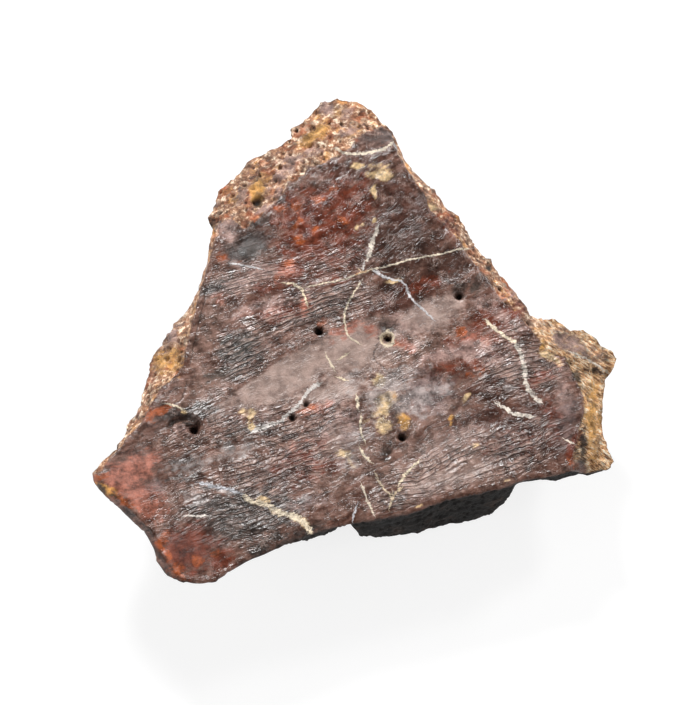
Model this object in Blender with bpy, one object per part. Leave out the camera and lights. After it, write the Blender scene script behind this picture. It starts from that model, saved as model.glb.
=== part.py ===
"""Fossil crocodile scute: one broken bony plate, smooth face up, resting on its worn keel.

Metres, +Z up. The photo looks at the smooth face from the front, so +Y points away from
the viewer. The resting spot is at z = 0 and the middle of the bounding box at x = y = 0.
"""
import math
import random

import bpy
from mathutils import Vector, geometry, noise

# Driving dimensions in metres
SCUTE_WIDTH = 0.050          # left corner to right knob, as traced
FACE_HEIGHT = 0.0106         # lowest part of the smooth face above the resting spot
FACE_DISH_DEPTH = 0.0008     # how far the smooth face is hollowed
FACE_DISH_RADIUS = 0.027
PLATE_THICKNESS = 0.0047     # away from the keel
PLATE_SWELL = 0.0012         # extra thickness where the keel grows out of the plate
KEEL_CREST_HALF_WIDTH = 0.0044
KEEL_FLANK_WIDTH = 0.0066
KEEL_FRONT_HALF_WIDTH = 0.0062   # the keel ends in a broad, steep-sided lump
KEEL_FRONT_FLANK_WIDTH = 0.0022
KEEL_FRONT_HEIGHT = 0.0017   # crest height above the table at the broken front end
KEEL_FRONT_REACH = 0.0180    # from the resting spot's centre to the front end
KEEL_BACK_REACH = 0.0260     # and to where the crest dies out
REST_LENGTH = 0.0150         # worn flat on the keel
REST_WIDTH = 0.0088
UNDERSIDE_PIT_RADIUS = 0.0021
UNDERSIDE_PIT_DEPTH = 0.0015
UNDERSIDE_PIT_SPACING = 0.0049
SPONGY_ROUGHNESS = 0.00028   # bump height of the broken, porous bone
FACE_GRID = 0.00104          # spacing of mesh points on each surface
BROKEN_GRID = 0.00075
UNDERSIDE_GRID = 0.00090
RING_SPACING = 0.0010
CLEARANCE = 0.00058          # grid points keep this far from traced rings

# How the photo looks at the scute, for turning traced pixels into places
VIEW_ELEVATION = math.radians(66)
VIEW_DISTANCE = 0.30
PHOTO_CENTRE = (350.0, 352.5)
TRACED_WIDTH_PX = 525.0
METRES_PER_PIXEL = SCUTE_WIDTH / TRACED_WIDTH_PX

# Border of the smooth face, traced clockwise from above the upper pale vein
RIM = (
    (357, 155), (377, 151), (392, 144), (400, 155), (408, 171), (421, 189), (431, 208),
    (442, 222), (460, 239), (468, 256), (484, 272), (501, 298), (516, 311), (532, 328),
    (540, 342), (550, 352), (564, 356), (569, 367), (578, 382), (583, 393), (585, 406),
    (582, 420), (578, 434), (575, 449), (571, 465), (559, 471), (536, 475), (512, 482),
    (494, 487), (480, 490), (453, 495), (438, 500), (422, 506), (407, 511), (376, 516),
    (354, 520), (331, 525), (309, 532), (300, 538), (285, 542), (267, 550), (246, 559),
    (228, 570), (216, 579), (200, 581), (184, 580), (174, 572), (163, 558), (160, 545),
    (151, 531), (139, 519), (127, 507), (111, 494), (101, 485), (97, 476), (105, 463),
    (119, 448), (129, 435), (142, 421), (149, 407), (160, 389), (176, 374), (184, 359),
    (188, 338), (192, 320), (199, 292), (207, 268), (214, 240), (220, 223), (232, 221),
    (245, 225), (259, 217), (269, 207), (282, 196), (294, 180), (310, 169), (325, 163),
    (338, 150),
)

# Outer edge, clockwise from the apex. Each stretch: how far it lies below the smooth
# face, how thick the plate is there, how far the wall is cut back under, traced points
EDGE_STRETCHES = (
    ("apex", 0.0026, 0.0052, 0.0005, (
        (337, 97), (347, 100), (360, 102), (372, 109), (380, 120), (388, 126))),
    ("far right strip", 0.0022, 0.0050, 0.0005, (
        (396, 138), (406, 161), (421, 178), (435, 190), (446, 206), (459, 216),
        (469, 233), (482, 255), (491, 259), (496, 269), (510, 285), (522, 299),
        (533, 316))),
    ("knob", 0.0024, 0.0052, 0.0006, (
        (543, 319), (555, 318), (571, 330), (583, 329), (595, 336), (602, 345),
        (612, 350), (618, 358), (613, 371))),
    ("right face", 0.0030, 0.0048, 0.0005, (
        (606, 381), (604, 397), (603, 413), (603, 431), (608, 446), (615, 462))),
    ("right front corner", 0.0026, 0.0046, 0.0007, (
        (611, 468), (602, 471), (592, 473), (582, 473))),
    ("right front edge", 0.0002, 0.0046, 0.0010, ((571, 471), (562, 474))),
    ("beside the keel end", 0.0002, 0.0036, 0.0013, ((544, 478), (530, 480), (517, 483))),
    ("keel end, right corner", 0.0002, 0.0066, 0.0007, ((510, 486),)),
    ("keel end, right", 0.0002, 0.0082, 0.0007, ((498, 490),)),
    ("keel end, deepest", 0.0002, 0.0090, 0.0007, ((484, 493), (456, 498))),
    ("keel end, middle", 0.0002, 0.0083, 0.0007, ((438, 504), (422, 510))),
    ("keel end, left", 0.0002, 0.0074, 0.0007, ((407, 515), (380, 519))),
    ("keel end, left corner", 0.0002, 0.0060, 0.0007, ((363, 522),)),
    ("notch", 0.0002, 0.0034, 0.0018, ((352, 524), (342, 526))),
    ("front edge", 0.0002, 0.0044, 0.0011, ((328, 530), (311, 535))),
    ("left front edge", 0.0002, 0.0034, 0.0018, (
        (300, 541), (285, 545), (267, 553), (246, 562), (228, 573), (216, 582),
        (200, 584), (182, 583))),
    ("left corner", 0.0006, 0.0030, 0.0009, (
        (167, 576), (156, 561), (153, 547), (144, 532), (132, 521), (119, 508),
        (106, 497), (98, 489), (93, 480), (91, 473))),
    ("left taper", 0.0009, 0.0036, 0.0006, ((102, 461), (115, 448), (124, 436))),
    ("left spongy face", 0.0030, 0.0048, 0.0005, (
        (126, 427), (138, 409), (142, 391), (150, 372), (148, 362), (157, 350),
        (165, 337), (173, 324), (186, 312))),
    ("left strip", 0.0022, 0.0046, 0.0004, (
        (197, 290), (205, 265), (210, 240), (212, 228), (208, 218))),
    ("far left bevel", 0.0030, 0.0052, 0.0005, (
        (213, 207), (217, 191), (228, 182), (238, 173), (250, 159), (264, 152),
        (277, 147), (290, 137), (289, 128), (303, 122), (311, 112), (320, 102),
        (330, 101))),
)

# Nerve and vessel holes in the smooth face: centre, radius and depth in metres
FORAMINA = (
    ((386, 339), 0.00062, 0.0009),
    ((389, 329), 0.00050, 0.0003),
    ((319, 331), 0.00042, 0.0006),
    ((458, 296), 0.00042, 0.0005),
    ((192, 427), 0.00062, 0.0008),
    ((180, 421), 0.00060, 0.0004),
    ((292, 417), 0.00040, 0.0004),
    ((306, 404), 0.00034, 0.0003),
    ((401, 438), 0.00042, 0.0006),
    ((386, 452), 0.00060, 0.0003),
)

# The keel runs on the underside from its broken front end to the far left
KEEL_FRONT_END_PX = (433, 505)
REST_CENTRE_PX = (347, 366)
RIDGE_STARTS_PX = (566, 354)
RIDGE_ENDS_PX = (604, 366)
KNOB_RIDGE_RAISE = 0.0007


def from_photo(pixel, height):
    """The place at this height that the photo shows at this pixel."""
    eye = Vector((0, -math.cos(VIEW_ELEVATION), math.sin(VIEW_ELEVATION))) * VIEW_DISTANCE
    eye.z += FACE_HEIGHT
    forward = Vector((0, math.cos(VIEW_ELEVATION), -math.sin(VIEW_ELEVATION)))
    upward = Vector((0, math.sin(VIEW_ELEVATION), math.cos(VIEW_ELEVATION)))
    aim = forward * VIEW_DISTANCE
    aim.x += (pixel[0] - PHOTO_CENTRE[0]) * METRES_PER_PIXEL
    aim += upward * (PHOTO_CENTRE[1] - pixel[1]) * METRES_PER_PIXEL
    return eye + aim * ((height - eye.z) / aim.z)


def face_height(x, y):
    """Height of the smooth face: a shallow dish with slow waves."""
    centre = from_photo(REST_CENTRE_PX, FACE_HEIGHT)
    reach = math.hypot(x - centre.x, y - centre.y) / FACE_DISH_RADIUS
    waves = noise.noise(Vector((x, y, 0)) * 110) * 0.00022
    return FACE_HEIGHT + FACE_DISH_DEPTH * reach ** 1.7 + waves


def on_face(pixel, drop=0.0):
    """Place a traced pixel on the smooth face, or this far below it."""
    place = from_photo(pixel, FACE_HEIGHT)
    for _ in range(3):
        place = from_photo(pixel, face_height(place.x, place.y) - drop)
    return place


def smooth_step(value):
    value = min(max(value, 0.0), 1.0)
    return value * value * (3 - 2 * value)


def resample(points, spacing):
    """Even steps along a closed loop, keeping a point near each traced corner."""
    loop = []
    for start, end in zip(points, points[1:] + points[:1]):
        length = (end - start).length
        steps = max(1, round(length / spacing))
        loop += [start.lerp(end, step / steps) for step in range(steps)]
    return loop


def drop_short_steps(points, shortest):
    kept = [points[0]]
    for point in points[1:]:
        if (point - kept[-1]).length >= shortest:
            kept.append(point)
    return kept


class Loop:
    """A closed ring in plan view that answers inside, distance and height questions."""

    def __init__(self, points):
        self.points = points
        self.sides = list(zip(points, points[1:] + points[:1]))

    def holds(self, x, y):
        inside = False
        for a, b in self.sides:
            if (a.y > y) != (b.y > y):
                if x < (b.x - a.x) * (y - a.y) / (b.y - a.y) + a.x:
                    inside = not inside
        return inside

    def nearest(self, x, y):
        """Distance in plan to the ring, and the ring's height there."""
        best, height = 1.0, 0.0
        for a, b in self.sides:
            run_x, run_y = b.x - a.x, b.y - a.y
            length = run_x * run_x + run_y * run_y
            share = ((x - a.x) * run_x + (y - a.y) * run_y) / max(length, 1e-12)
            share = min(max(share, 0.0), 1.0)
            gap = math.hypot(x - a.x - share * run_x, y - a.y - share * run_y)
            if gap < best:
                best, height = gap, a.z + share * (b.z - a.z)
        return best, height


def rim_loop():
    points = [on_face(pixel) for pixel in RIM]
    return Loop(drop_short_steps(resample(points, RING_SPACING), 0.0005))


def edge_rings():
    """The outer edge and, below it, the foot where the wall meets the underside."""
    edge, thickness, undercut = [], [], []
    for _, drop, thick, cut, pixels in EDGE_STRETCHES:
        edge += [on_face(pixel, drop) for pixel in pixels]
        thickness += [thick] * len(pixels)
        undercut += [cut] * len(pixels)
    ring, foot = [], []
    count = len(edge)
    for index, start in enumerate(edge):
        after = (index + 1) % count
        steps = max(1, round((edge[after] - start).length / RING_SPACING))
        for step in range(steps):
            share = step / steps
            point = start.lerp(edge[after], share)
            thick = thickness[index] + share * (thickness[after] - thickness[index])
            cut = undercut[index] + share * (undercut[after] - undercut[index])
            ring.append(point)
            foot.append((thick, cut))
    return Loop(ring), foot_loop(ring, foot)


def foot_loop(ring, foot):
    edge = Loop(ring)
    points = []
    for index, (thick, cut) in enumerate(foot):
        along = ring[(index + 2) % len(ring)] - ring[index - 2]
        inward = Vector((along.y, -along.x, 0)).normalized()
        place = ring[index] + inward * cut
        place.z = face_height(place.x, place.y) - thick
        if edge.nearest(place.x, place.y)[0] > cut * 0.93 and edge.holds(place.x, place.y):
            points.append(place)
    return Loop(drop_short_steps(points, 0.00055))


def grid_points(spacing, outside, keep):
    """Staggered, slightly shaken grid points inside a loop that pass the test."""
    shake = random.Random(7)
    xs = [point.x for point in outside.points]
    ys = [point.y for point in outside.points]
    row_step = spacing * math.sqrt(3) / 2
    points = []
    for row in range(int((max(ys) - min(ys)) / row_step) + 1):
        for column in range(int((max(xs) - min(xs)) / spacing) + 2):
            x = min(xs) + (column + 0.5 * (row % 2)) * spacing
            y = min(ys) + row * row_step
            x += shake.uniform(-0.16, 0.16) * spacing
            y += shake.uniform(-0.16, 0.16) * spacing
            if outside.holds(x, y) and keep(x, y):
                points.append((x, y))
    return points


def foramen_rings():
    """Places and depths of a small pit's centre, floor ring and lip ring."""
    points = []
    for pixel, radius, depth in FORAMINA:
        centre = on_face(pixel)
        points.append((centre.x, centre.y, depth, radius))
        for share, fall in ((0.62, 0.72), (1.05, 0.0)):
            for step in range(7):
                turn = math.tau * (step + 0.5 * share) / 7
                x = centre.x + math.cos(turn) * radius * share
                y = centre.y + math.sin(turn) * radius * share
                points.append((x, y, depth * fall, radius))
    return points


def spongy_bumps(x, y, z):
    coarse = noise.noise(Vector((x, y, z)) * 900)
    fine = noise.noise(Vector((x, y, z + 1)) * 2100)
    return SPONGY_ROUGHNESS * (1.3 * coarse + 0.8 * fine)


def knob_ridge(x, y):
    """Low ridge that splits the knob into a far facet and a right facet."""
    start = on_face(RIDGE_STARTS_PX)
    end = on_face(RIDGE_ENDS_PX, 0.0015)
    run = Vector((end.x - start.x, end.y - start.y))
    share = ((x - start.x) * run.x + (y - start.y) * run.y) / run.length_squared
    if not -0.2 < share < 1.2:
        return 0.0
    side = abs((x - start.x) * run.y - (y - start.y) * run.x) / run.length
    return KNOB_RIDGE_RAISE * smooth_step(1 - side / 0.0018) * smooth_step(1.2 - share)


def upper_surface(rim, edge):
    """Points, heights and constraint edges of everything seen from above."""
    pits = foramen_rings()
    points = [tuple(point) for point in edge.points]
    points += [tuple(point) for point in rim.points]
    points += [(x, y, face_height(x, y) - depth) for x, y, depth, _ in pits]

    def on_smooth_face(x, y):
        if not rim.holds(x, y) or rim.nearest(x, y)[0] < CLEARANCE:
            return False
        return all(math.hypot(x - px, y - py) > CLEARANCE for px, py, _, _ in pits)

    def on_broken_face(x, y):
        if rim.holds(x, y):
            return False
        return min(rim.nearest(x, y)[0], edge.nearest(x, y)[0]) > CLEARANCE * 0.8

    for x, y in grid_points(FACE_GRID, edge, on_smooth_face):
        points.append((x, y, face_height(x, y)))
    for x, y in grid_points(BROKEN_GRID, edge, on_broken_face):
        from_rim, rim_z = rim.nearest(x, y)
        from_edge, edge_z = edge.nearest(x, y)
        share = from_rim / (from_rim + from_edge)
        z = rim_z + share ** 1.15 * (edge_z - rim_z)
        points.append((x, y, z + spongy_bumps(x, y, z) + knob_ridge(x, y)))
    return points, (len(edge.points), len(rim.points))


def keel_axis():
    """Centre of the resting spot and the keel's direction toward its front end."""
    centre = from_photo(REST_CENTRE_PX, FACE_HEIGHT)
    front = from_photo(KEEL_FRONT_END_PX, FACE_HEIGHT)
    return centre, Vector((front.x - centre.x, front.y - centre.y)).normalized()


def keel_place(x, y):
    """How far along the keel and how far to its side a plan position is."""
    centre, axis = keel_axis()
    along = (x - centre.x) * axis.x + (y - centre.y) * axis.y
    across = (x - centre.x) * axis.y - (y - centre.y) * axis.x
    return along, across


def from_keel(along, across):
    centre, axis = keel_axis()
    x = centre.x + along * axis.x + across * axis.y
    y = centre.y + along * axis.y - across * axis.x
    return x, y


def rest_spot():
    """Outline of the worn flat, a little uneven like a natural wear facet."""
    points = []
    for step in range(26):
        turn = math.tau * step / 26
        swell = 1 + 0.07 * math.sin(3 * turn + 1) + 0.04 * math.sin(5 * turn)
        along = math.cos(turn) * REST_LENGTH / 2 * swell
        across = math.sin(turn) * REST_WIDTH / 2 * swell
        x, y = from_keel(along, across)
        points.append(Vector((x, y, 0)))
    return Loop(points)


def underside_pits(foot, rest):
    """Rounded sculpture pits in rows beside the keel."""
    shake = random.Random(21)
    pits = []
    for side in (-1, 1):
        for row in range(5):
            across = side * (0.0068 + row * UNDERSIDE_PIT_SPACING * 0.92)
            for step in range(-7, 8):
                along = (step + 0.5 * (row % 2)) * UNDERSIDE_PIT_SPACING
                along += shake.uniform(-0.0008, 0.0008)
                x, y = from_keel(along, across + shake.uniform(-0.0006, 0.0006))
                radius = UNDERSIDE_PIT_RADIUS * shake.uniform(0.72, 1.15)
                if not foot.holds(x, y) or foot.nearest(x, y)[0] < radius * 0.9:
                    continue
                if rest.nearest(x, y)[0] > radius + 0.0006:
                    pits.append((x, y, radius, UNDERSIDE_PIT_DEPTH * shake.uniform(0.7, 1.1)))
    return pits


def keel_crest_height(along):
    """Crest height above the table: flat at the resting spot, rising to both ends."""
    beyond = abs(along) - REST_LENGTH / 2
    if along > 0:
        reach = smooth_step(beyond / (KEEL_FRONT_REACH - REST_LENGTH / 2))
        return KEEL_FRONT_HEIGHT * reach
    reach = smooth_step(beyond / (KEEL_BACK_REACH - REST_LENGTH / 2))
    return (FACE_HEIGHT - PLATE_THICKNESS) * reach


def keel_section(along):
    """Half width of the crest and width of a flank at this place along the keel."""
    toward_front = smooth_step((along - REST_LENGTH / 3) / 0.008)
    toward_back = smooth_step(-along / KEEL_BACK_REACH)
    half_width = KEEL_CREST_HALF_WIDTH * (0.8 - 0.35 * toward_back)
    half_width += (KEEL_FRONT_HALF_WIDTH - half_width) * toward_front
    flank_width = KEEL_FLANK_WIDTH
    flank_width += (KEEL_FRONT_FLANK_WIDTH - flank_width) * toward_front
    return half_width, flank_width


def underside_height(x, y, foot, rest, pits):
    along, across = keel_place(x, y)
    plate = face_height(x, y) - PLATE_THICKNESS
    plate -= PLATE_SWELL * smooth_step(1 - abs(across) / 0.018)
    crest = min(keel_crest_height(along), plate)
    from_rest = rest.nearest(x, y)[0]
    half_width, flank_width = keel_section(along)
    flank = smooth_step((abs(across) - half_width) / flank_width)
    z = crest + (plate - crest) * flank
    z = max(z, min(from_rest * 0.3, 0.0012))
    for pit_x, pit_y, radius, depth in pits:
        gap = math.hypot(x - pit_x, y - pit_y) / radius
        if gap < 1:
            z += depth * (1 - gap * gap) ** 1.4
        elif gap < 1.5:
            z -= 0.00018 * (1.5 - gap) * 2
    z += noise.noise(Vector((x, y, 3)) * 420) * 0.00022
    from_foot, foot_z = foot.nearest(x, y)
    return foot_z + (z - foot_z) * smooth_step(from_foot / 0.0026)


def lower_surface(edge, foot, rest):
    """Points, heights and constraint edges of everything seen from below."""
    pits = underside_pits(foot, rest)
    points = [tuple(point) for point in edge.points]
    points += [tuple(point) for point in foot.points]
    points += [tuple(point) for point in rest.points]

    def off_the_rings(x, y):
        if not foot.holds(x, y) or foot.nearest(x, y)[0] < CLEARANCE:
            return False
        return rest.nearest(x, y)[0] > CLEARANCE

    for x, y in grid_points(UNDERSIDE_GRID, edge, off_the_rings):
        if rest.holds(x, y):
            points.append((x, y, 0.0))
        else:
            z = max(underside_height(x, y, foot, rest, pits), 0.0003)
            points.append((x, y, z))
    return points, (len(edge.points), len(foot.points), len(rest.points))


def triangulate(points, ring_sizes):
    """Triangles over the outer ring, with every ring kept as mesh edges."""
    flat = [Vector((x, y)) for x, y, _ in points]
    sides, start = [], 0
    for size in ring_sizes:
        sides += [(start + step, start + (step + 1) % size) for step in range(size)]
        start += size
    outer = list(range(ring_sizes[0]))
    result = geometry.delaunay_2d_cdt(flat, sides, [outer], 1, 1e-7)
    sources = [origins[0] for origins in result[3]]
    return [tuple(sources[corner] for corner in face) for face in result[2]]


def turned_up(triangle, points):
    a, b, c = (points[corner] for corner in triangle)
    return (b[0] - a[0]) * (c[1] - a[1]) - (b[1] - a[1]) * (c[0] - a[0]) > 0


def stitch(upper, upper_faces, lower, lower_faces, shared):
    """One closed skin: both surfaces use the same outer ring points."""
    shift = len(upper) - shared
    points = upper + lower[shared:]
    faces = []
    for face in upper_faces:
        faces.append(face if turned_up(face, upper) else face[::-1])
    for face in lower_faces:
        face = face[::-1] if turned_up(face, lower) else face
        faces.append(tuple(corner if corner < shared else corner + shift for corner in face))
    return points, faces


def centre_on_origin(points):
    xs = [point[0] for point in points]
    ys = [point[1] for point in points]
    middle_x = (min(xs) + max(xs)) / 2
    middle_y = (min(ys) + max(ys)) / 2
    return [(x - middle_x, y - middle_y, z) for x, y, z in points]


def bone_material():
    material = bpy.data.materials.new("fossil_bone")
    material.use_nodes = True
    shader = material.node_tree.nodes["Principled BSDF"]
    shader.inputs["Base Color"].default_value = (0.13, 0.055, 0.04, 1)
    shader.inputs["Roughness"].default_value = 0.42
    return material


def build_scute():
    rim = rim_loop()
    edge, foot = edge_rings()
    rest = rest_spot()
    upper, upper_rings = upper_surface(rim, edge)
    lower, lower_rings = lower_surface(edge, foot, rest)
    points, faces = stitch(upper, triangulate(upper, upper_rings),
                           lower, triangulate(lower, lower_rings), len(edge.points))
    mesh = bpy.data.meshes.new("scute")
    mesh.from_pydata(centre_on_origin(points), [], faces)
    mesh.validate()
    mesh.materials.append(bone_material())
    scute = bpy.data.objects.new("scute", mesh)
    bpy.context.collection.objects.link(scute)


for old in list(bpy.data.objects):
    bpy.data.objects.remove(old)
build_scute()
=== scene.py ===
import functools
import itertools
import math

import bmesh
import bpy
import numpy as np
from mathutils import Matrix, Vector


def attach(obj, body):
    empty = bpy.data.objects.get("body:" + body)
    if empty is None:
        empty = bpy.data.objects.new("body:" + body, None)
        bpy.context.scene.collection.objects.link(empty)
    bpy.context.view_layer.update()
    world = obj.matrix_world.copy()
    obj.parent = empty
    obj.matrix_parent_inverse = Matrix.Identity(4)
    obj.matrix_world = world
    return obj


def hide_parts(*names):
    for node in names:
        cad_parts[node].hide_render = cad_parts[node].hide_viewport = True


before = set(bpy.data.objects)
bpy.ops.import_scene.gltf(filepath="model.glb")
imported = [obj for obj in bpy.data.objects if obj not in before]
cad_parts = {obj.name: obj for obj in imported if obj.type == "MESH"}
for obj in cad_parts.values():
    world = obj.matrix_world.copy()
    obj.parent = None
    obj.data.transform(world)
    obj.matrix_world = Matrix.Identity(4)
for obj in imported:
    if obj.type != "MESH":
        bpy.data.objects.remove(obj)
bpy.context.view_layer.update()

# Looks of the fossil crocodile scute. The imported solid is copied, its triangles are made
# small, the fine relief is raised or carved in them, and points carry the masks that the
# one bone material turns into stains, veins, pores and gloss, and into painted sheen,
# highlights and shade. Lengths are in metres.

# The photograph's view, which places everything traced from it
METRES_PER_PIXEL = 0.050 / 525
PHOTO_CENTRE = (350.0, 352.5)
PHOTO_HEIGHT_PX = 705
VIEW_ELEVATION = math.radians(66)
VIEW_DISTANCE = 0.30
AIM = Vector((-0.00071, -0.00250, 0.0106))
SENSOR_WIDTH_MM = 36

# Parts of the surface, the longest triangle sides on each, and how the parts are told apart
FACE, BROKEN, WALL, UNDERSIDE = range(4)
LONGEST_SIDE = {FACE: 0.00025, BROKEN: 0.00027, WALL: 0.00050, UNDERSIDE: 0.00060}
SPLIT_ROUNDS = 5
WELD_GAP = 1e-6
FLAT_SPOT_HEIGHT = 2e-5  # points below this belong to the flat spot it rests on
LEVEL_NORMAL = 0.55  # least upward share of a normal on the face, downward below
BROKEN_NORMAL = 0.12  # least upward share of a normal on the broken bone
FRONT_FADE = (-0.1, -0.5)  # the normal's y between which a point turns to the front
WALL_FADE = (0.0056, 0.0070)  # heights between which a wall turns from dark to open bone

# Rounds of smoothing, and how far the outer edge moves in them
FACE_ROUNDS = 70
OTHER_ROUNDS = 3
UNDERSIDE_ROUNDS = 6
EDGE_MOBILITY = 0.15

# How far the border of the broken bone strays from the traced rim
STRAY = 0.00012
STRAY_SIZE_MM = 1.9
SMALL_STRAY = 0.00010
SMALL_STRAY_SIZE_MM = 0.6
LOOSE_STRAY = 0.00055  # added at the upper left, where pores spread over the face
LOOSE_LEFT_OF = (365, 330)
LOOSE_ABOVE = (262, 235)
CLEAN_FADE = (0.0013, 0.0006)
BROKEN_FADE = 0.00010

# Relief of the smooth face
WAVE_HEIGHT = 0.00010
WAVE_LENGTH = 0.0052
WRINKLE_HEIGHT = 0.000045
WRINKLE_LENGTH = 0.0023
WRINKLE_SPACING = 0.00085
LUMPY_HEIGHT = 0.00002  # where the face has no fibres
LUMPY_SIZE = 0.0012
FLAKE_HEIGHT = 0.00006
FLAKE_SIZE = 0.0011
FIBRE_SPACING = 0.00046
FIBRE_HEIGHT = 0.00013
BROAD_WRINKLE = 0.00007
SLIGHT_WRINKLE = 0.000012
FIBRE_RISE = math.radians(21)  # fibres rise to the right in the photograph
FIBRE_SWAY = ((0.85, 7.5, 11), (0.20, 2.8, 12))  # reach and length in mm, seed
TOP_TURN = math.radians(18)  # and turn this much more toward the top
TOP_TURN_BAND = (300, 215)
TOP_TURN_CENTRE_MM = 36
RIM_FADE = 0.0006  # relief of the face dies out this near to its rim
CREASE_STEP = 0.00009  # the face bends along the edge of its sheen
CREASE_WIDTH = 0.0016
CREASE_REACH = 0.006
CHIP_DEPTH = 0.00014
CHIP_SIZE = 0.0011
CHIP_BAND = (0.0011, 0.0002)  # distances from the rim where chips begin and are full

# Relief of the broken bone and the underside
LUMP_HEIGHT = 0.00017
LUMP_SIZE = 0.00095
GRAIN_HEIGHT = 0.00008
GRAIN_SIZE = 0.00040
PORE_SPACING = 0.00066
WIDE_PORE_SPACING = 0.00120
PORE_DEPTH = 0.00030
PORE_SLOPE = (0.46, 0.12)  # edge and floor of a pore, as shares of the spacing
WIDE_PORE_SLOPE = (0.32, 0.14)
LIP_SLOPES = (0.46, 0.36), (0.24, 0.32)
LIP_HEIGHT = 0.00008
UNDERSIDE_GRAIN = 0.00006
LEDGE_DEPTH = 0.00012  # the smooth layer stands this much above the broken bone

# How the borders of stains, painted sheen and painted shade stray: reach in pixels, size in mm,
# what is added to the seed
STAIN_AND_PAINTED_LIGHT_SHIFTS = ((5, 1.7, 0), (2.2, 0.6, 5))
SHEEN_FADE = (-0.0003, 0.0004)  # distances from the sheen's edge

# Colours of the bone, as stops from dark to light or laid over what is there. Some paint
# highlights, glints and shade
GROUND_TONES = (
    (0.3, (0.05, 0.019, 0.012)), (0.46, (0.112, 0.052, 0.037)),
    (0.58, (0.172, 0.094, 0.072)), (0.72, (0.27, 0.17, 0.14)))
# The palest stops of the broken bone and of the knob partly paint glints
BROKEN_TONES = (
    (0.34, (0.085, 0.028, 0.013)), (0.43, (0.31, 0.13, 0.064)),
    (0.53, (0.44, 0.235, 0.13)), (0.62, (0.9, 0.74, 0.57)))
KNOB_TONES = (
    (0.38, (0.11, 0.04, 0.017)), (0.45, (0.48, 0.225, 0.09)),
    (0.52, (0.88, 0.53, 0.25)), (0.6, (0.99, 0.87, 0.68)))
HIDDEN_TONES = (
    (0.3, (0.008, 0.005, 0.003)), (0.52, (0.024, 0.014, 0.01)),
    (0.66, (0.06, 0.034, 0.022)), (0.8, (0.16, 0.1, 0.064)))
# Painted shade: the sides that face the front, nearly black
FRONT_SHADE_TONES = (
    (0.3, (0.002, 0.001, 0.001)), (0.54, (0.004, 0.002, 0.001)),
    (0.66, (0.022, 0.012, 0.008)), (0.76, (0.13, 0.08, 0.053)))
VEIN_TONES = (
    (0, (0.5, 0.5, 0.54)), (0.25, (0.68, 0.61, 0.55)),
    (0.5, (0.74, 0.61, 0.43)), (1, (0.6, 0.29, 0.12)))
RUSTY = (0.4, 0.11, 0.036, 1)
GOLDEN = (0.7, 0.33, 0.085, 1)
# Painted highlight on the raised lips of pores
PORE_LIP_HIGHLIGHT = (0.7, 0.56, 0.42, 1)
WALL_CRUST = (0.095, 0.045, 0.028, 1)
PORE_SHADE = (0.07, 0.032, 0.016, 1)
# Painted highlight and painted shade on the raised and sunken flecks of the smooth face
PAINTED_FLECK_HIGHLIGHT = (0.56, 0.39, 0.33, 1)
PAINTED_FLECK_SHADE = (0.032, 0.011, 0.007, 1)
LIT_RIDGE = (0.6, 0.455, 0.395, 1)
CREASE_SHADE = (0.026, 0.012, 0.008, 1)
# Painted highlight on fine crossing ridges
SCRATCH_HIGHLIGHT = (0.52, 0.36, 0.3, 1)
# Painted glints
PAINTED_GLINT = (0.8, 0.76, 0.7, 1)
HOLE_SHADE = (0.02, 0.013, 0.01, 1)
CRACK_SHADE = (0.062, 0.036, 0.028, 1)

# Floor: radius and height of each ring
FLOOR_RINGS = ((0.95, 0.0), (1.05, 0.005), (1.15, 0.025), (1.24, 0.07), (1.29, 0.14), (1.30, 0.36))
FLOOR_SIDES = 64

# Border of the smooth face in the photograph, clockwise from above the upper pale vein
RIM = (
    (350, 147), (356, 138), (368, 131), (382, 125), (391, 133), (396, 144), (400, 155), (408, 171),
    (421, 189), (431, 208), (442, 222), (460, 239), (468, 256), (484, 272), (501, 298), (516, 311),
    (532, 328), (540, 342), (550, 352), (564, 356), (569, 367), (578, 382), (583, 393), (585, 406),
    (582, 420), (578, 434), (575, 449), (571, 465), (559, 471), (536, 475), (512, 482), (494, 487),
    (480, 490), (453, 495), (438, 500), (422, 506), (407, 511), (376, 516), (354, 520), (331, 525),
    (309, 532), (300, 538), (285, 542), (267, 550), (246, 559), (228, 570), (216, 579), (200, 581),
    (184, 580), (174, 572), (163, 558), (160, 545), (151, 531), (139, 519), (127, 507), (111, 494),
    (101, 485), (97, 476), (105, 463), (119, 448), (129, 435), (142, 421), (149, 407), (160, 389),
    (176, 374), (184, 359), (188, 338), (192, 320), (199, 292), (207, 268), (214, 240), (220, 223),
    (232, 221), (245, 225), (259, 217), (269, 207), (282, 196), (294, 180), (310, 169), (325, 163),
    (338, 152),
)

# The part of that border where the face curls over an unbroken dark edge
CLEAN_EDGE = ((578, 470), (559, 473), (512, 484), (453, 497), (407, 513), (354, 522), (309, 534),
    (285, 544), (246, 561), (216, 581), (184, 582), (163, 560), (151, 533), (127, 509), (97, 482))

# Upper edge of the light sheen across the face
SHEEN_EDGE = ((196, 420), (226, 398), (262, 372), (300, 347), (345, 322), (395, 308), (440, 290),
    (478, 276), (500, 262))

# Across this band the bone of the right end turns from porous to fibrous
KNOB_BAND = (528, 552)

# Holes: centre, half width, depth, and darkness of the painted shade in them. A depth below zero makes
# a mound.
HOLLOWS = (
    ((388, 337), 420e-6, 700e-6, 0.9),
    ((389, 327), 850e-6, 200e-6, 0.3),
    ((319, 331), 420e-6, 600e-6, 1),
    ((459, 296), 400e-6, 500e-6, 1),
    ((193, 429), 420e-6, 600e-6, 0.5),
    ((183, 427), 450e-6, -160e-6, 0),
    ((292, 418), 360e-6, 350e-6, 0.8),
    ((306, 404), 320e-6, 350e-6, 0.9),
    ((402, 437), 380e-6, 600e-6, 1),
    ((386, 452), 600e-6, 220e-6, 0.5),
    ((257, 201), 450e-6, 550e-6, 1),
    ((489, 266), 340e-6, 500e-6, 1),
)

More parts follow.
